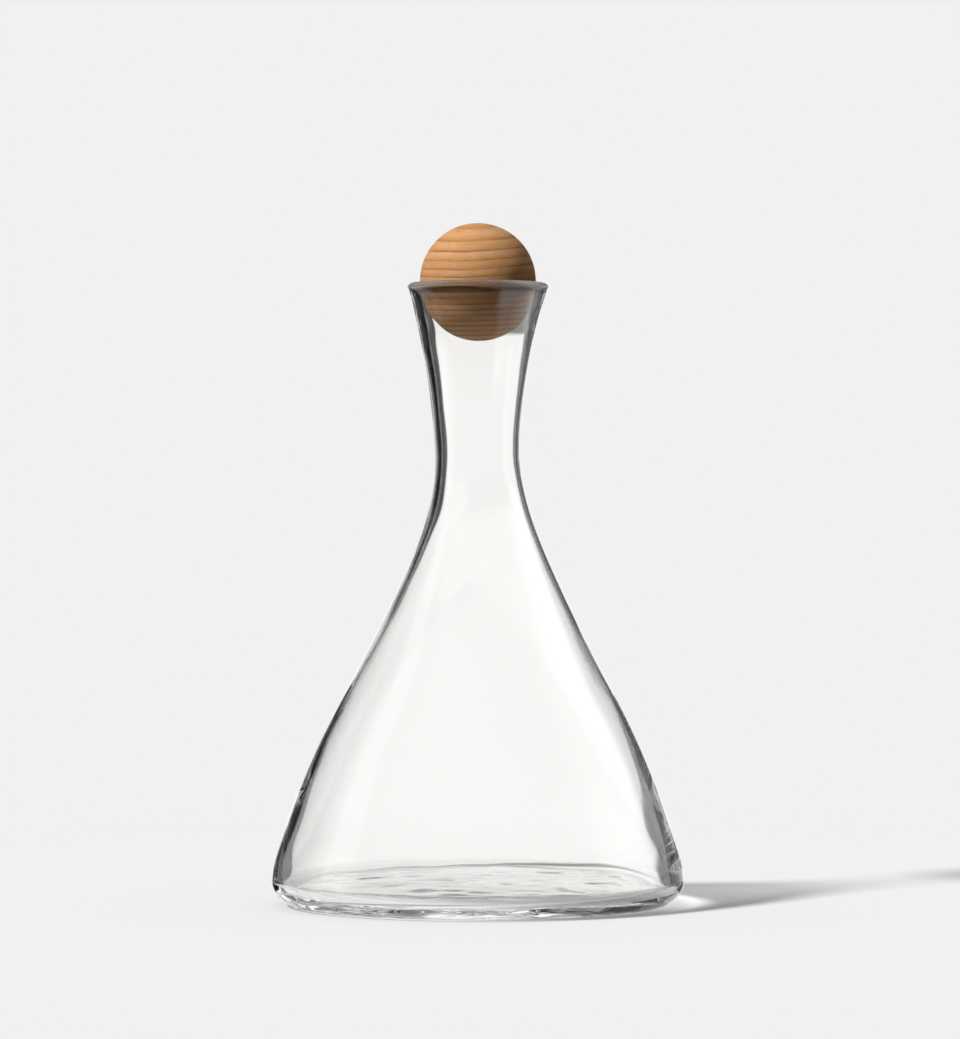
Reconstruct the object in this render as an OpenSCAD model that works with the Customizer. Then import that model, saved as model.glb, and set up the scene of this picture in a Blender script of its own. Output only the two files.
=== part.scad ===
// Blown-glass water carafe, closed by a turned wooden ball that rests in its flared mouth.
// Millimetres, +Z up. The origin is on the table, under the middle of the foot.
// A wall's lean is its angle from upright: positive where the body narrows as it rises.

/* [Foot] */
// Outer radius of the flat ring that the carafe stands on
foot_r = 78; // [72:0.5:80]
// Width of that ring
foot_w = 12; // [6:0.5:20]
// Rise of the hollow under the base, at its middle
punt_h = 1.2; // [0.6:0.2:3]
// Thickness of the base at the edge of the inside floor
base_t = 6.3; // [5:0.1:8]
// Rise of the inside floor, at its middle
floor_rise = 0.8; // [0.2:0.2:3]
// Radius of the inside corner between floor and wall
corner_r = 4.5; // [3:0.5:8]

/* [Belly] */
// Radius of the widest ring, just above the table
belly_r = 88.8; // [86:0.1:92]
// Height of the widest ring
belly_z = 10; // [8:0.5:13]
// Wall thickness at the belly
belly_wall = 4.4; // [4:0.1:7]
// Lean of the inside wall where it meets the corner
corner_lean = 0; // [-3:1:6]

/* [Cone] */
// Outer radius at the hip, where the belly has turned into the cone
hip_r = 82.5; // [81:0.1:84]
// Height of the hip
hip_z = 34.5; // [32:0.5:37]
// Lean of the wall at the hip
hip_lean = 18; // [14:0.5:22]
// Wall thickness at the hip
hip_wall = 3.4; // [3:0.1:5.5]
// Outer radius in the middle of the cone
cone_r = 58; // [55:0.1:60]
// Height of the middle of the cone
cone_z = 91; // [87:0.5:95]
// Lean of the wall in the middle of the cone
cone_lean = 29; // [26:0.5:32]
// Wall thickness in the middle of the cone
cone_wall = 1.7; // [1.6:0.1:3]

/* [Neck] */
// Outer radius at the shoulder, where the cone turns into the neck
shoulder_r = 32.8; // [31:0.1:34]
// Height of the shoulder
shoulder_z = 141; // [137:0.5:145]
// Lean of the wall at the shoulder
shoulder_lean = 24.5; // [22:0.5:28]
// Wall thickness at the shoulder
shoulder_wall = 2; // [1.6:0.1:3.2]
// Outer radius of the waist, the narrowest ring
waist_r = 18.2; // [16:0.1:20]
// Height of the waist
waist_z = 195.5; // [190:0.5:200]
// Lean of the wall at the waist
waist_lean = -1.5; // [-3:0.5:1]
// Wall thickness at the waist
waist_wall = 2; // [1.6:0.1:3.2]

/* [Mouth] */
// Outer radius half way up the flare
flare_r = 22.8; // [21.5:0.1:24]
// Height of that ring
flare_z = 236; // [232:0.5:240]
// Lean of the wall half way up the flare
flare_lean = -10.5; // [-14:0.5:-8]
// Wall thickness half way up the flare
flare_wall = 2.6; // [2:0.1:4]
// Outer radius under the rim
mouth_r = 29.6; // [29:0.1:31]
// Height of that ring
mouth_z = 264.6; // [261:0.1:267]
// Lean of the wall under the rim
mouth_lean = -18; // [-22:0.5:-12]
// Wall thickness under the rim
mouth_wall = 4.4; // [3.6:0.1:4.8]
// How far the rim stands out from the mouth
rim_out = 0.7; // [0.2:0.1:1.2]
// Height above the mouth at which the rim starts to round over
rim_rise = 1.2; // [1:0.1:2.5]
// Wall thickness of the rim
rim_wall = 4.6; // [4:0.1:5]
// Height of the rim's rounded edge, as a share of half its wall: 1 is a full round
rim_round = 0.7; // [0.5:0.1:1]

/* [Ball] */
// Diameter of the wooden ball
ball_d = 50; // [49:0.5:51]
// Gap left between the seated ball and the glass
seat_gap = 0.2; // [0.1:0.05:0.4]

/* [Hidden] */
$fn = 128;
span_steps = 8;
rim_steps = 10;
dish_steps = 12;
seat_steps = 200;
// Lean of a surface that leaves the table or the floor level, on its way outwards
level = -90;
rim_lean = -8.5;
rim_r = mouth_r + rim_out;
rim_z = mouth_z + rim_rise;
ball_r = ball_d / 2;
floor_r = belly_r - belly_wall - corner_r;
punt_r = foot_r - foot_w;

// The same ring on the inside of the wall, one thickness in, square to the glass
function inner_ring(a) = [a.x - a[3] * cos(a[2]), a.y - a[3] * sin(a[2]), a[2]];

// Rings of the wall above the belly: [outer radius, height, lean, wall thickness]
cone_rings = [
    [hip_r, hip_z, hip_lean, hip_wall],
    [cone_r, cone_z, cone_lean, cone_wall],
    [shoulder_r, shoulder_z, shoulder_lean, shoulder_wall]
];
neck_rings = [
    [waist_r, waist_z, waist_lean, waist_wall],
    [flare_r, flare_z, flare_lean, flare_wall],
    [mouth_r, mouth_z, mouth_lean, mouth_wall],
    [rim_r, rim_z, rim_lean, rim_wall]
];
wall_rings = concat(cone_rings, neck_rings);

// The outside starts at the foot's edge and the inside at the floor's edge, both level
outer_rings = concat([[foot_r, 0, level], [belly_r, belly_z, 0]], wall_rings);
inner_rings = concat(
    [[floor_r, base_t, level], [belly_r - belly_wall, base_t + corner_r, corner_lean]],
    [for (a = wall_rings) inner_ring(a)]
);

// Which way the wall runs at a ring, on its way up
function heading(a) = [-sin(a[2]), cos(a[2])];

// Point at share t of the smooth curve that leaves ring a and meets ring b along their headings
function curve_point(a, b, t) =
    let (reach = norm([b.x - a.x, b.y - a.y]))
    (2 * t ^ 3 - 3 * t ^ 2 + 1) * [a.x, a.y] + (t ^ 3 - 2 * t ^ 2 + t) * reach * heading(a)
    + (3 * t ^ 2 - 2 * t ^ 3) * [b.x, b.y] + (t ^ 3 - t ^ 2) * reach * heading(b);

// Curve through all the rings, with the given number of steps between two of them
function curve(rings, steps) = concat(
    [for (i = [0:len(rings) - 2], j = [0:steps - 1]) curve_point(rings[i], rings[i + 1], j / steps)],
    [curve_point(rings[len(rings) - 2], rings[len(rings) - 1], 1)]
);

// Flattened half circle that rounds the rim over, from the outside to the inside
function rim() =
    let (across = [cos(rim_lean), sin(rim_lean)], up = [-sin(rim_lean), cos(rim_lean)])
    [for (i = [1:rim_steps - 1]) let (turn = 180 * i / rim_steps)
        [rim_r, rim_z] + rim_wall / 2 * ((cos(turn) - 1) * across + rim_round * sin(turn) * up)];

// Shallow dome that leaves its edge and its middle level: radius r, rise h, on a base height z
function dish(r, h, z) = [for (i = [0:dish_steps]) let (t = i / dish_steps)
    [r * (1 - t), z + h * (1 - cos(180 * t)) / 2]];

// Height of the ball's middle where it rests on the inside of the flare, one gap clear of it
function seat_z() =
    let (flare = curve([for (a = neck_rings) inner_ring(a)], seat_steps), reach = ball_r + seat_gap)
    max([for (p = concat(flare, rim())) p.x < reach ? p.y + sqrt(reach ^ 2 - p.x ^ 2) : 0]);

// One closed outline: up the outside, over the rim, down the inside, along the floor, and under
function glass_outline() =
    let (inside = curve(inner_rings, span_steps), under = dish(punt_r, punt_h, 0))
    concat(
        curve(outer_rings, span_steps),
        rim(),
        [for (i = [len(inside) - 1:-1:1]) inside[i]],
        dish(floor_r, floor_rise, base_t),
        [for (i = [len(under) - 1:-1:0]) under[i]]
    );

// The blown body, neck and mouth are one piece of glass
module glass_carafe() {
    color([0.86, 0.9, 0.9, 0.35]) rotate_extrude() polygon(glass_outline());
}

// Solid wooden ball, seated in the flare
module ball_stopper() {
    color([0.8, 0.55, 0.34]) translate([0, 0, seat_z()]) sphere(r = ball_r);
}

glass_carafe();
ball_stopper();
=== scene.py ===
import math
import bpy
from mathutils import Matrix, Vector


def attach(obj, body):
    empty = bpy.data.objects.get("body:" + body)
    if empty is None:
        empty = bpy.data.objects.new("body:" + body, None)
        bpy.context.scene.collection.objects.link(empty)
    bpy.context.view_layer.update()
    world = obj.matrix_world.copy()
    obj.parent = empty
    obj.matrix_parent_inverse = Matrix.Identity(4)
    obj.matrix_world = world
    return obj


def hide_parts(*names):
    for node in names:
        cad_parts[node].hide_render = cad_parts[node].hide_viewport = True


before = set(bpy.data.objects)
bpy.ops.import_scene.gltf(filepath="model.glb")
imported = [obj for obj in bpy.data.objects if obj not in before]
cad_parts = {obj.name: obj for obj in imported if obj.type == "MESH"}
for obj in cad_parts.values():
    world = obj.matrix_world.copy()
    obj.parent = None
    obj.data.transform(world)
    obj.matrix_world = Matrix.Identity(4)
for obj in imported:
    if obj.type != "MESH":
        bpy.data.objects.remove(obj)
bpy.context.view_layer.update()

mm = 0.001
weld = 0.002 * mm         # points nearer than this become one

photo = {
    "width": 960,         # px
    "height": 1039,       # px
    "pxPerMm": 2.32,      # the 50 mm ball is 116 px across
    "axisX": 477.9,       # px, middle of the carafe
    "distance": 2.0,      # m, camera to the carafe's axis
    "eyeHeight": 0.166,   # m, camera above the table
    "sensor": 36.0,       # mm, along the frame's long side
}


def placeCamera():
    sideStep = (photo["width"] / 2 - photo["axisX"]) / photo["pxPerMm"] * mm
    bpy.ops.object.camera_add(location=(sideStep, -photo["distance"], photo["eyeHeight"]),
                              rotation=(math.pi / 2, 0, 0))
    camera = bpy.context.object
    focalPx = photo["pxPerMm"] / mm * photo["distance"]
    camera.data.sensor_width = photo["sensor"]
    camera.data.lens = photo["sensor"] * focalPx / photo["height"]
    bpy.context.scene.camera = camera
    print("camera", round(camera.data.lens, 1), "mm")


# sRGB hex to the linear values that the nodes take
def linear(hexColour):
    channels = [int(hexColour[i:i + 2], 16) / 255 for i in (1, 3, 5)]
    return [c / 12.92 if c <= 0.04045 else ((c + 0.055) / 1.055) ** 2.4 for c in channels] + [1.0]


# One node: terms go to its sockets in order, and settings to its sockets and properties by name.
# Where one of them is a node's output, or a node for its first output, it is linked.
def addNode(tree, kind, terms=(), **settings):
    node = tree.nodes.new(kind)
    pairs = []
    for name, term in settings.items():
        if name in node.inputs:
            pairs.append((node.inputs[name], term))
        else:
            setattr(node, name, term)
    for socket, term in pairs + list(zip(node.inputs, terms)):
        source = term.outputs[0] if isinstance(term, bpy.types.Node) else term
        if isinstance(source, bpy.types.NodeSocket):
            tree.links.new(source, socket)
        else:
            socket.default_value = source
    return node


# Colours along a ramp, as (place, colour) stops
def setStops(ramp, stops):
    elements = ramp.color_ramp.elements
    while len(elements) < len(stops):
        elements.new(0.5)
    for element, (place, colour) in zip(elements, stops):
        element.position = place
        element.color = list(colour[:3]) + [1]


def newMaterial(name):
    material = bpy.data.materials.new(name)
    material.use_nodes = True
    material.node_tree.nodes.clear()
    return material, material.node_tree


studio = {
    "backdrop": "#F1F1F1",     # what the camera sees behind and under the carafe
    # What the glass sees round the room: heading in degrees from +Y towards +X, and brightness.
    # A white wall 25 degrees wide behind the carafe, black cards on both sides of it, a window
    # on +X, a narrow pale card on -X, and a dim room behind the camera.
    "room": [(-180, 0.28), (-125, 0.3), (-102, 0.2), (-98, 0.6), (-82, 0.6), (-79, 0.15), (-70, 0.05),
             (-60, 0.01), (-38, 0.01), (-30, 0.02), (-20, 0.035), (-13.6, 0.07), (-12.8, 1.03),
             (-6, 1.04), (0, 1.03), (6, 1.04), (11.3, 1.05), (12.8, 0.15), (20, 0.07), (28, 0.14),
             (37, 0.1), (50, 0.08), (58, 1.05), (64, 1.2), (80, 1.1), (94, 0.8), (105, 0.45),
             (118, 0.28), (135, 0.24), (180, 0.28)],
    "roomMost": 3.0,           # brightness that the room's ramp calls white
    # Each pair is where a change starts and ends, as the part of a ray's direction along one axis
    "wallAhead": (0.86, 0.9), "wallTop": (0.125, 0.165),
    "skyline": 0.2,            # the white wall's brightness above its top, past its lamps' reach
    "ceilingRise": (0.92, 0.98),
    "ceiling": 0.9,            # soft light overhead, as the glass sees it
    "overheadRise": (0.7, 0.85),
    "overhead": 0.6,           # and as it lights the table and the wood
    "fill": 0.06,              # faint light from all round
    # Low down, past the table, the glass sees white behind the carafe, pale on +X, and dark elsewhere
    "lowFall": (-0.18, -0.24),
    "lowAhead": (0.0, 0.35), "lowAheadTones": (0.03, 1.0),
    "lowAside": (0.56, 0.66), "lowAsideTones": (0.0, 0.8),
    "sunStrength": 3.3,
    "sunElevation": 40.3,      # degrees
    "sunHeading": 35.0,        # degrees, shadow's turn from +X towards +Y
    "sunAngle": 8.0,           # degrees, its width, which softens the shadow's edge
}


# A plain backdrop for the camera, the room for the glass, and soft light overhead for the rest
def makeWorld():
    s = studio
    world = bpy.data.worlds.new("studio_light")
    bpy.context.scene.world = world
    world.use_nodes = True
    tree = world.node_tree
    tree.nodes.clear()
    rays = addNode(tree, "ShaderNodeLightPath").outputs
    place = addNode(tree, "ShaderNodeTexCoord").outputs["Generated"]
    axes = addNode(tree, "ShaderNodeSeparateXYZ", [place]).outputs
    heading = addNode(tree, "ShaderNodeMath", (axes["X"], axes["Y"]), operation="ARCTAN2")
    turn = addNode(tree, "ShaderNodeMapRange", (heading, -math.pi, math.pi))
    ramp = addNode(tree, "ShaderNodeValToRGB", [turn])
    setStops(ramp, [(degrees / 360 + 0.5, [level / s["roomMost"]] * 3) for degrees, level in s["room"]])
    room = addNode(tree, "ShaderNodeMath", (ramp, s["roomMost"]), operation="MULTIPLY")
    # The white wall fades out above the height that the camera sees
    ahead = addNode(tree, "ShaderNodeMapRange", (axes["Y"], *s["wallAhead"]),
                    interpolation_type="SMOOTHSTEP")
    high = addNode(tree, "ShaderNodeMapRange", (axes["Z"], *s["wallTop"]),
                   interpolation_type="SMOOTHSTEP")
    outside = addNode(tree, "ShaderNodeMath", (ahead, high), operation="MULTIPLY")
    dim = addNode(tree, "ShaderNodeMath", (outside, rays["Is Transmission Ray"]), operation="MULTIPLY")
    wall = addNode(tree, "ShaderNodeMapRange", (dim, 0, 1, room, s["skyline"]))
    above = addNode(tree, "ShaderNodeMapRange", (axes["Z"], *s["ceilingRise"]),
                    interpolation_type="SMOOTHSTEP")
    overRoom = addNode(tree, "ShaderNodeMapRange", (above, 0, 1, wall, s["ceiling"]))
    # What the glass sees low down, past the table
    below = addNode(tree, "ShaderNodeMapRange", (axes["Z"], *s["lowFall"]),
                    interpolation_type="SMOOTHSTEP")
    behind = addNode(tree, "ShaderNodeMapRange", (axes["Y"], *s["lowAhead"], *s["lowAheadTones"]),
                     interpolation_type="SMOOTHSTEP")
    beside = addNode(tree, "ShaderNodeMapRange", (axes["X"], *s["lowAside"], *s["lowAsideTones"]),
                     interpolation_type="SMOOTHSTEP")
    lowRoom = addNode(tree, "ShaderNodeMath", (behind, beside), operation="MAXIMUM")
    shiny = addNode(tree, "ShaderNodeMath", (rays["Is Glossy Ray"], rays["Is Transmission Ray"]),
                    operation="MAXIMUM")
    seenBelow = addNode(tree, "ShaderNodeMath", (below, shiny), operation="MULTIPLY")
    inGlass = addNode(tree, "ShaderNodeMapRange", (seenBelow, 0, 1, overRoom, lowRoom))
    # What lights the table and the wood
    overTable = addNode(tree, "ShaderNodeMapRange", (axes["Z"], *s["overheadRise"]),
                        interpolation_type="SMOOTHSTEP")
    onTable = addNode(tree, "ShaderNodeMapRange", (overTable, 0, 1, s["fill"], s["overhead"]))
    unseen = addNode(tree, "ShaderNodeMapRange", (shiny, 0, 1, onTable, inGlass))
    shown = addNode(tree, "ShaderNodeMixRGB", (rays["Is Camera Ray"], unseen, linear(s["backdrop"])))
    back = addNode(tree, "ShaderNodeBackground", [shown])
    addNode(tree, "ShaderNodeOutputWorld", [back])
    print("world done")


def addSun():
    turn = math.radians(studio["sunHeading"])
    rise = math.radians(studio["sunElevation"])
    shine = Vector((math.cos(turn) * math.cos(rise), math.sin(turn) * math.cos(rise), -math.sin(rise)))
    aim = shine.to_track_quat("-Z", "Y").to_euler()
    bpy.ops.object.light_add(type="SUN", location=(-1, -0.7, 1), rotation=aim)
    sun = bpy.context.object
    sun.data.energy = studio["sunStrength"]
    sun.data.angle = math.radians(studio["sunAngle"])
    sun.visible_glossy = False
    sun.visible_transmission = False
    print("sun done")


table = {
    "radius": 0.5,             # m
    "sides": 128,
    "fadeFrom": 0.34,          # m, past here the table melts into the backdrop
    "drop": 0.2 * mm,          # m, under the foot
    "tone": 0.927,
    "toneOnWood": 0.45,        # as it lights the ball from below
    # The glass sees it white round one place, dark further out, and white again on the +X side, in m
    "toneInGlass": 1.0, "toneFar": 0.03,
    "litPlace": (0, 0.3, 0), "litReach": (0.46, 0.6),
    "litAside": (0.17, 0.23),
    # A glossy table turns to a mirror for rays lower than about 12 degrees
    "mirrorFacing": (0.785, 0.835), "mirrorRoughness": 0.12,
}


# Glossy white tabletop: an even pale grey to the eye, and a soft mirror at a low slant, which the
# glass repeats as bright and dark streaks in its base
def tableMaterial():
    t = table
    material, tree = newMaterial("glossy_white_table")
    rays = addNode(tree, "ShaderNodeLightPath").outputs
    place = addNode(tree, "ShaderNodeTexCoord").outputs["Object"]
    tone = addNode(tree, "ShaderNodeMapRange", (rays["Is Diffuse Ray"], 0, 1, t["tone"], t["toneOnWood"]))
    plain = addNode(tree, "ShaderNodeBsdfDiffuse", [tone])
    off = addNode(tree, "ShaderNodeVectorMath", (place, t["litPlace"]), operation="DISTANCE")
    lit = addNode(tree, "ShaderNodeMapRange",
                  (off.outputs["Value"], *t["litReach"], t["toneInGlass"], t["toneFar"]),
                  interpolation_type="SMOOTHSTEP")
    east = addNode(tree, "ShaderNodeSeparateXYZ", [place]).outputs["X"]
    beside = addNode(tree, "ShaderNodeMapRange", (east, *t["litAside"], 0, t["toneInGlass"]),
                     interpolation_type="SMOOTHSTEP")
    white = addNode(tree, "ShaderNodeMath", (lit, beside), operation="MAXIMUM")
    bright = addNode(tree, "ShaderNodeBsdfDiffuse", [white])
    mirror = addNode(tree, "ShaderNodeBsdfAnisotropic", Roughness=t["mirrorRoughness"], Color=(1, 1, 1, 1))
    slant = addNode(tree, "ShaderNodeLayerWeight", Blend=0.5).outputs["Facing"]
    share = addNode(tree, "ShaderNodeMapRange", (slant, *t["mirrorFacing"]),
                    interpolation_type="SMOOTHSTEP")
    inGlass = addNode(tree, "ShaderNodeMixShader", (share, bright, mirror))
    shiny = addNode(tree, "ShaderNodeMath", (rays["Is Glossy Ray"], rays["Is Transmission Ray"]),
                    operation="MAXIMUM")
    surface = addNode(tree, "ShaderNodeMixShader", (shiny, plain, inGlass))
    reach = addNode(tree, "ShaderNodeVectorMath", [place], operation="LENGTH").outputs["Value"]
    fade = addNode(tree, "ShaderNodeMapRange", (reach, t["fadeFrom"], t["radius"]),
                   interpolation_type="SMOOTHSTEP")
    nothing = addNode(tree, "ShaderNodeBsdfTransparent")
    whole = addNode(tree, "ShaderNodeMixShader", (fade, surface, nothing))
    addNode(tree, "ShaderNodeOutputMaterial", [whole])
    return material


def addTable():
    bpy.ops.mesh.primitive_circle_add(vertices=table["sides"], radius=table["radius"], fill_type="NGON",
                                      location=(0, 0, -table["drop"]))
    top = bpy.context.object
    top.name = "table_top"
    top.data.materials.append(tableMaterial())
    print("table done")


glass = {
    # Rings of the wall: outer radius, height, lean and wall thickness, in mm and degrees.
    # The two at the mouth stand up to 0.7 mm from the solid's, along nearly the same curve, for
    # a sharper lip.
    "rings": [(82.5, 34.5, 18, 3.4), (58.0, 91, 29, 1.7), (32.8, 141, 24.5, 2.0), (18.2, 195.5, -1.5, 2.0),
              (22.8, 236, -10.5, 2.6), (29.95, 265.3, -17, 4.4), (30.25, 265.9, -12, 4.6)],
    "foot": 78.0, "footWidth": 12.0, "punt": 1.2,
    "belly": (88.8, 10.0, 4.4),        # outer radius, height and wall thickness
    "base": 6.3, "floorRise": 0.8, "corner": 4.5, "cornerLean": 0,
    "rimRound": 0.7,           # rim's height, as a share of half its wall
    "steps": (16, 14, 22, 20, 20, 18, 14, 4),
    "rimSteps": 16, "dishSteps": 24, "turnSteps": 224,
}

# How far the blown glass strays from round and true. Each push is along one axis, in mm,
# and its share of the push changes with height, as (height, share) stops.
stray = {
    "bodyAside": 0.8, "bodyShare": [(30, 0), (95, 0.7), (125, 1), (150, 1), (192, 0)],
    "neckAside": -0.6, "neckShare": [(176, 0), (207, 1), (240, 1), (252, 0.7), (263, 0)],
    # Only the right side of the heel's inside
    "heelAside": -0.8, "heelShare": [(5, 0.3), (15, 1), (25, 1), (75, 0)],
    "boreAside": 0.5, "boreShare": [(118, 0), (185, 1), (247, 1), (257, 0)],
    "wallWave": 0.35, "wallGrain": 30.0, "wallShare": [(9, 0), (20, 1), (235, 1), (252, 0)],
    "floorWave": 0.8, "floorGrain": 18.0,
    "floorHeight": (5, 12), "floorFacing": 0.9,        # what counts as floor: its height, and facing up
}


# Point at share t of the smooth curve that leaves ring a and meets ring b along their headings
def curvePoint(a, b, t):
    reach = math.hypot(b[0] - a[0], b[1] - a[1])
    weights = (2 * t ** 3 - 3 * t ** 2 + 1, (t ** 3 - 2 * t ** 2 + t) * reach,
               3 * t ** 2 - 2 * t ** 3, (t ** 3 - t ** 2) * reach)
    leanA, leanB = math.radians(a[2]), math.radians(b[2])
    parts = (a, (-math.sin(leanA), math.cos(leanA)), b, (-math.sin(leanB), math.cos(leanB)))
    return [sum(w * p[k] for w, p in zip(weights, parts)) for k in (0, 1)]


# Curve through all the rings, with its steps from each one to the next
def curve(rings, steps):
    points = [curvePoint(a, b, i / n) for a, b, n in zip(rings, rings[1:], steps) for i in range(n)]
    return points + [[rings[-1][0], rings[-1][1]]]


# Shallow dome that leaves its edge and its middle level
def dish(radius, rise, height, steps):
    return [[radius * (1 - i / steps), height + rise * (1 - math.cos(math.pi * i / steps)) / 2]
            for i in range(steps + 1)]


# From the middle underneath, up the outside, over the rim, down the inside and in along the floor
def glassOutline():
    g = glass
    inside = [(r - wall * math.cos(math.radians(lean)), z - wall * math.sin(math.radians(lean)), lean)
              for r, z, lean, wall in g["rings"]]
    bellyR, bellyZ, bellyWall = g["belly"]
    outer = [(g["foot"], 0, -90), (bellyR, bellyZ, 0)] + [ring[:3] for ring in g["rings"]]
    inner = [(bellyR - bellyWall - g["corner"], g["base"], -90),
             (bellyR - bellyWall, g["base"] + g["corner"], g["cornerLean"])] + inside
    rimR, rimZ, rimLean, rimWall = g["rings"][-1]
    half, lean = rimWall / 2, math.radians(rimLean)
    rim = []
    for i in range(1, g["rimSteps"]):
        turn = math.pi * i / g["rimSteps"]
        across, up = half * (math.cos(turn) - 1), half * g["rimRound"] * math.sin(turn)
        rim.append([rimR + across * math.cos(lean) - up * math.sin(lean),
                    rimZ + across * math.sin(lean) + up * math.cos(lean)])
    floor = dish(inner[0][0], g["floorRise"], g["base"], g["dishSteps"])
    under = dish(g["foot"] - g["footWidth"], g["punt"], 0, g["dishSteps"])
    return under[::-1] + curve(outer, g["steps"]) + rim + curve(inner, g["steps"])[:0:-1] + floor


# Draws the outline point by point, as a lathe's template, and spins it round
def lathe(name, outline, turnSteps):
    bpy.ops.object.select_all(action="DESELECT")
    bpy.ops.mesh.primitive_plane_add(size=mm)
    piece = bpy.context.object
    piece.name = name
    bpy.ops.object.mode_set(mode="EDIT")
    bpy.ops.mesh.merge(type="CENTER")
    points = [Vector((r * mm, 0, z * mm)) for r, z in outline]
    bpy.ops.transform.translate(value=points[0])
    for at, to in zip(points, points[1:]):
        bpy.ops.mesh.extrude_vertices_move(TRANSFORM_OT_translate={"value": to - at})
    bpy.ops.mesh.select_all(action="SELECT")
    bpy.ops.mesh.spin(steps=turnSteps, angle=2 * math.pi, center=(0, 0, 0), axis=(0, 0, 1))
    bpy.ops.mesh.select_all(action="SELECT")
    bpy.ops.mesh.remove_doubles(threshold=weld)
    bpy.ops.mesh.normals_make_consistent(inside=False)
    bpy.ops.object.mode_set(mode="OBJECT")
    bpy.ops.object.shade_smooth()
    return piece


# Share at a point's height, eased between the stops
def shareAt(stops, vertex):
    height = vertex.co.z / mm
    for (low, first), (high, last) in zip(stops, stops[1:]):
        if low <= height <= high:
            t = (height - low) / (high - low)
            return first + (last - first) * t * t * (3 - 2 * t)
    return 0.0


def facesAxis(vertex):
    return vertex.co.x * vertex.normal.x + vertex.co.y * vertex.normal.y < 0


def onFloor(vertex):
    low, high = stray["floorHeight"]
    return vertex.normal.z > stray["floorFacing"] and low * mm < vertex.co.z < high * mm


# 1 at the far right of the glass, and 0 in front, behind and all over the left
def toRight(vertex):
    return max(0, vertex.co.x / max(math.hypot(vertex.co.x, vertex.co.y), mm)) ** 2


# Pushes part of a piece aside, or ripples it with a cloud pattern of the given grain
def nudge(piece, name, along, amount, share, grain=0):
    group = piece.vertex_groups.new(name=name)
    for vertex in piece.data.vertices:
        weight = share(vertex)
        if weight > 0:
            group.add([vertex.index], weight, "REPLACE")
    push = piece.modifiers.new(name, "DISPLACE")
    push.direction = along
    push.strength = amount * mm
    push.vertex_group = name
    push.mid_level = 0
    if grain:
        ripple = bpy.data.textures.new(name, "CLOUDS")
        ripple.noise_scale = grain * mm
        ripple.noise_depth = 1
        push.texture = ripple
        push.texture_coords = "LOCAL"
        push.mid_level = 0.5
    bpy.ops.object.modifier_apply(modifier=name)


def roughen(carafe):
    s = stray
    nudge(carafe, "heel", "X", s["heelAside"],
          lambda v: toRight(v) * shareAt(s["heelShare"], v) if facesAxis(v) or onFloor(v) else 0)
    nudge(carafe, "bore", "X", s["boreAside"],
          lambda v: shareAt(s["boreShare"], v) if facesAxis(v) else 0)
    nudge(carafe, "wallWave", "NORMAL", s["wallWave"],
          lambda v: shareAt(s["wallShare"], v) if facesAxis(v) else 0, s["wallGrain"])
    nudge(carafe, "floorWave", "Z", s["floorWave"], lambda v: 1 if onFloor(v) else 0, s["floorGrain"])
    nudge(carafe, "body", "X", s["bodyAside"], lambda v: shareAt(s["bodyShare"], v))
    nudge(carafe, "neck", "X", s["neckAside"], lambda v: shareAt(s["neckShare"], v))
    carafe.vertex_groups.clear()


glassLook = {
    "bending": 1.52,           # index of refraction of soda-lime glass
    "tint": (0.995, 0.995, 0.985),     # a breath of warm colour
    "polished": 0.0,
    "ground": 0.7,             # roughness of the rim's ground edge
    "groundFrom": 265.5,       # mm, where the ground edge starts
    "groundBlend": 0.3,        # mm, over which it comes on
    "shade": (0.93, 0.3),      # light let through square on, and edge on
    "shadeFacing": (0.3, 1.0),         # between which slants it changes
    "top": 267.0,              # mm, where the stops by height end
    # The heel gathers light and the rim throws it aside: (height in mm, share that passes)
    "shadeUp": [(0, 1.1), (7, 1.1), (10, 1.45), (13, 1.45), (16, 0.8), (45, 0.85), (70, 1),
                (264.6, 1), (265.4, 0.4)],
    "shadeMost": 2.0,          # share that its ramp calls white
    # The wall spreads what it takes, and the more the higher it is: (height in mm, depth of the shade)
    "shadeDeep": [(0, 1), (60, 1), (91, 0.8), (120, 0.55), (141, 0.42), (170, 0.3), (200, 0.2),
                  (230, 0.2), (255, 0.6), (267, 1)],
    # Painted shade: the glass's colour darkens in a band just under the rim, standing in for the rim's
    # shadow on the ball behind it: (height in mm, share that passes)
    "gap": [(0, 1), (262.8, 1), (263.6, 0.4), (265.5, 0.4), (266.4, 1), (267, 1)],
}


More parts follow.
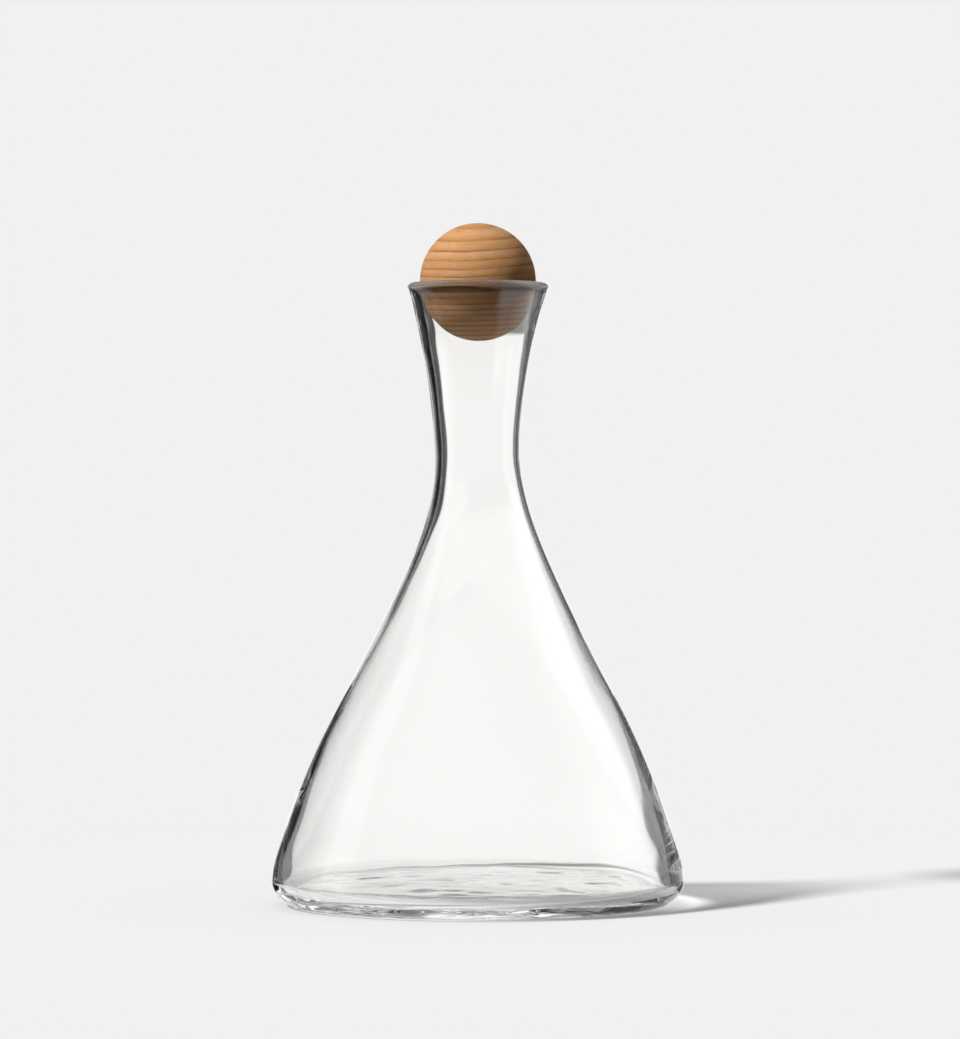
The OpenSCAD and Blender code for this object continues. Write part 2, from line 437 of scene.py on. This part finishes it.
# Clear glass: real refraction for what is seen through it, and a plain tinted pane for the
# light that passes, so that the ball and the table are lit without grain
def glassMaterial():
    look = glassLook
    top, edge = look["top"], look["groundFrom"] * mm
    material, tree = newMaterial("clear_soda_lime_glass")
    rays = addNode(tree, "ShaderNodeLightPath").outputs
    place = addNode(tree, "ShaderNodeTexCoord").outputs["Object"]
    height = addNode(tree, "ShaderNodeSeparateXYZ", [place]).outputs["Z"]
    rise = addNode(tree, "ShaderNodeMapRange", (height, 0, top * mm))
    # The ground edge of the rim reads as a soft grey band
    rough = addNode(tree, "ShaderNodeMapRange",
                    (height, edge, edge + look["groundBlend"] * mm, look["polished"], look["ground"]))
    # Glass colour: the warm tint, darkened under the rim as painted shade for the rim's shadow on the ball
    colour = addNode(tree, "ShaderNodeValToRGB", [rise])
    setStops(colour, [(z / top, [share * part for part in look["tint"]]) for z, share in look["gap"]])
    clear = addNode(tree, "ShaderNodeBsdfPrincipled", Roughness=rough, IOR=look["bending"],
                    **{"Base Color": colour, "Transmission Weight": 1.0})
    slant = addNode(tree, "ShaderNodeLayerWeight", Blend=0.5).outputs["Facing"]
    tone = addNode(tree, "ShaderNodeMapRange", (slant, *look["shadeFacing"], *look["shade"]))
    less = addNode(tree, "ShaderNodeValToRGB", [rise])
    setStops(less, [(z / top, [share / look["shadeMost"]] * 3) for z, share in look["shadeUp"]])
    deep = addNode(tree, "ShaderNodeValToRGB", [rise])
    setStops(deep, [(z / top, [share] * 3) for z, share in look["shadeDeep"]])
    # The tone's loss counts by the shade's depth, and what is left by the share that passes
    loss = addNode(tree, "ShaderNodeMath", (tone, 1), operation="SUBTRACT")
    kept = addNode(tree, "ShaderNodeMath", (loss, deep, 1), operation="MULTIPLY_ADD")
    shared = addNode(tree, "ShaderNodeMath", (kept, less), operation="MULTIPLY")
    let = addNode(tree, "ShaderNodeMath", (shared, look["shadeMost"]), operation="MULTIPLY")
    passing = addNode(tree, "ShaderNodeBsdfTransparent", [let])
    soft = addNode(tree, "ShaderNodeMath", (rays["Is Shadow Ray"], rays["Is Diffuse Ray"]),
                   operation="MAXIMUM")
    both = addNode(tree, "ShaderNodeMixShader", (soft, clear, passing))
    addNode(tree, "ShaderNodeOutputMaterial", [both])
    return material


def makeCarafe():
    carafe = lathe("carafe_glass", glassOutline(), glass["turnSteps"])
    roughen(carafe)
    carafe.data.materials.append(glassMaterial())
    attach(carafe, "carafe")
    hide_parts("glass_carafe")
    print("glass", len(carafe.data.polygons), "faces")


ball = {
    "outlineSteps": 96, "turnSteps": 160,
    "inset": 0.02,             # mm, how far it stays inside the solid ball
    "pale": "#DDAE83",         # early wood
    "mid": "#CB935E",
    "late": "#A06430",         # the thin dark line that ends each year's ring
    # Through one year's ring, from one line to the next
    "year": [(0, "late"), (0.09, "pale"), (0.45, "pale"), (0.8, "mid"), (0.93, "late")],
    "tilt": (-4.6, 2.2),       # degrees, the rings' lean towards the viewer and to one side
    "pith": 400.0,             # mm above the ball's middle, where the tree's heart was
    "firstLine": 23.1,         # mm above the middle
    "ringRate": (0.17, 0.0035),        # rings per mm at the first line, and how they crowd lower down
    "waver": 0.35,             # rings' unevenness, in rings
    # Grains per mm: wavers 22 mm wide, faint stretches of line 14 mm, a mottle of 2.6 mm, and fibres
    # of 0.56 mm, which are coarser than real ones so that they show
    "waverGrains": 0.045, "faintGrains": 0.07, "mottleGrains": 0.38, "fibreGrains": 1.8,
    "faintStretch": (0.5, 1.0, 3.0), "fibreStretch": (0.06, 1.0, 1.0),
    "faintFrom": (0.35, 0.62), "faint": (0.1, 0.75),   # how far a line melts into the middle colour
    "noiseReach": (0.3, 0.7),          # between which a noise mostly stays
    "streak": (0.9, 1.06), "mottle": (0.94, 1.05),     # shares of the colour
    "roughness": (0.5, 0.68),
    "sheen": 0.08,             # specular level of a dull sanded skin
    "relief": 0.12, "reliefDepth": 0.15,       # how strong the bumps are, and their depth in mm
}


# Bare turned softwood: flat-sawn growth rings, pale and broad at the top and crowded below, each one
# darkening slowly to a thin line. Fibres run along X, and a dull sanded skin gives a soft, wide gloss.
def woodMaterial(middle):
    b = ball
    material, tree = newMaterial("turned_bare_softwood")
    place = addNode(tree, "ShaderNodeTexCoord").outputs["Object"]
    pitch, roll = [math.radians(a) for a in b["tilt"]]
    onBall = addNode(tree, "ShaderNodeVectorMath", (place, (0, 0, middle)), operation="SUBTRACT")
    turned = addNode(tree, "ShaderNodeVectorRotate", rotation_type="EULER_XYZ", Vector=onBall,
                     Rotation=(pitch, roll, 0))
    axes = addNode(tree, "ShaderNodeSeparateXYZ", [turned]).outputs
    up = addNode(tree, "ShaderNodeCombineXYZ", X=axes["X"], Z=axes["Z"])
    pith = addNode(tree, "ShaderNodeVectorMath", (up, (0, 0, b["pith"] * mm)), operation="DISTANCE")
    # Depth below the first line, in mm, and the count of rings down to there, with a slow waver
    depth = addNode(tree, "ShaderNodeMath", (pith.outputs["Value"], 1 / mm, b["firstLine"] - b["pith"]),
                    operation="MULTIPLY_ADD")
    rate = addNode(tree, "ShaderNodeMath", (depth, b["ringRate"][1], b["ringRate"][0]),
                   operation="MULTIPLY_ADD")
    rings = addNode(tree, "ShaderNodeMath", (depth, rate), operation="MULTIPLY")
    broad = addNode(tree, "ShaderNodeTexNoise", [turned], Scale=b["waverGrains"] / mm, Detail=2.0,
                    Roughness=0.4)
    waver = addNode(tree, "ShaderNodeMath", (broad, b["waver"], rings), operation="MULTIPLY_ADD")
    steady = addNode(tree, "ShaderNodeMath", (waver, b["waver"] / 2), operation="SUBTRACT")
    ring = addNode(tree, "ShaderNodeMath", [steady], operation="FRACT")
    colours = addNode(tree, "ShaderNodeValToRGB", [ring])
    setStops(colours, [(share, linear(b[name])) for share, name in b["year"]])
    # Some lines are faint and some strong, and each one fades along its way
    along = addNode(tree, "ShaderNodeMapping", Vector=turned, Scale=b["faintStretch"])
    patchy = addNode(tree, "ShaderNodeTexNoise", [along], Scale=b["faintGrains"] / mm, Detail=2.0,
                     Roughness=0.5)
    faint = addNode(tree, "ShaderNodeMapRange", (patchy, *b["faintFrom"], *b["faint"]))
    softened = addNode(tree, "ShaderNodeMixRGB", (faint, colours, linear(b["mid"])))
    # Fibres, drawn out along X, and a fine mottle over them
    long = addNode(tree, "ShaderNodeMapping", Vector=turned, Scale=b["fibreStretch"])
    fibre = addNode(tree, "ShaderNodeTexNoise", [long], Scale=b["fibreGrains"] / mm, Detail=3.0,
                    Roughness=0.6)
    streak = addNode(tree, "ShaderNodeMapRange", (fibre, *b["noiseReach"], *b["streak"]))
    mottle = addNode(tree, "ShaderNodeTexNoise", [turned], Scale=b["mottleGrains"] / mm, Detail=3.0,
                     Roughness=0.6)
    patch = addNode(tree, "ShaderNodeMapRange", (mottle, *b["noiseReach"], *b["mottle"]))
    grain = addNode(tree, "ShaderNodeMath", (streak, patch), operation="MULTIPLY")
    skinColour = addNode(tree, "ShaderNodeVectorMath", (softened, grain), operation="MULTIPLY")
    dull = addNode(tree, "ShaderNodeMapRange", (fibre, *b["noiseReach"], *b["roughness"]))
    relief = addNode(tree, "ShaderNodeBump", Height=grain, Strength=b["relief"],
                     Distance=b["reliefDepth"] * mm)
    skin = addNode(tree, "ShaderNodeBsdfPrincipled", Roughness=dull, Normal=relief,
                   **{"Base Color": skinColour, "Specular IOR Level": b["sheen"]})
    addNode(tree, "ShaderNodeOutputMaterial", [skin])
    return material


# The ball is turned on a lathe too, to the size and seat of the CAD ball
def makeBall():
    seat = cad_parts["ball_stopper"]
    corners = [seat.matrix_world @ Vector(corner) for corner in seat.bound_box]
    low, high = min(c.z for c in corners), max(c.z for c in corners)
    middle, radius = (low + high) / 2, (high - low) / 2 - ball["inset"] * mm
    steps = ball["outlineSteps"]
    turns = [math.pi * i / steps for i in range(steps + 1)]
    outline = [[radius / mm * math.sin(turn), (middle - radius * math.cos(turn)) / mm] for turn in turns]
    outline[0][0] = outline[-1][0] = 0
    piece = lathe("stopper_ball", outline, ball["turnSteps"])
    piece.data.materials.append(woodMaterial(middle))
    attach(piece, "stopper")
    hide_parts("ball_stopper")
    print("ball", len(piece.data.polygons), "faces")


def setRender():
    scene = bpy.context.scene
    scene.view_settings.view_transform = "Standard"
    # Light runs a long way to and fro inside the thick base
    scene.cycles.max_bounces = 64
    scene.cycles.transmission_bounces = 64
    scene.cycles.glossy_bounces = 64
    scene.cycles.transparent_max_bounces = 32
    scene.cycles.caustics_reflective = False
    scene.cycles.caustics_refractive = False
    print("render set")


placeCamera()
makeWorld()
addSun()
addTable()
makeCarafe()
makeBall()
setRender()
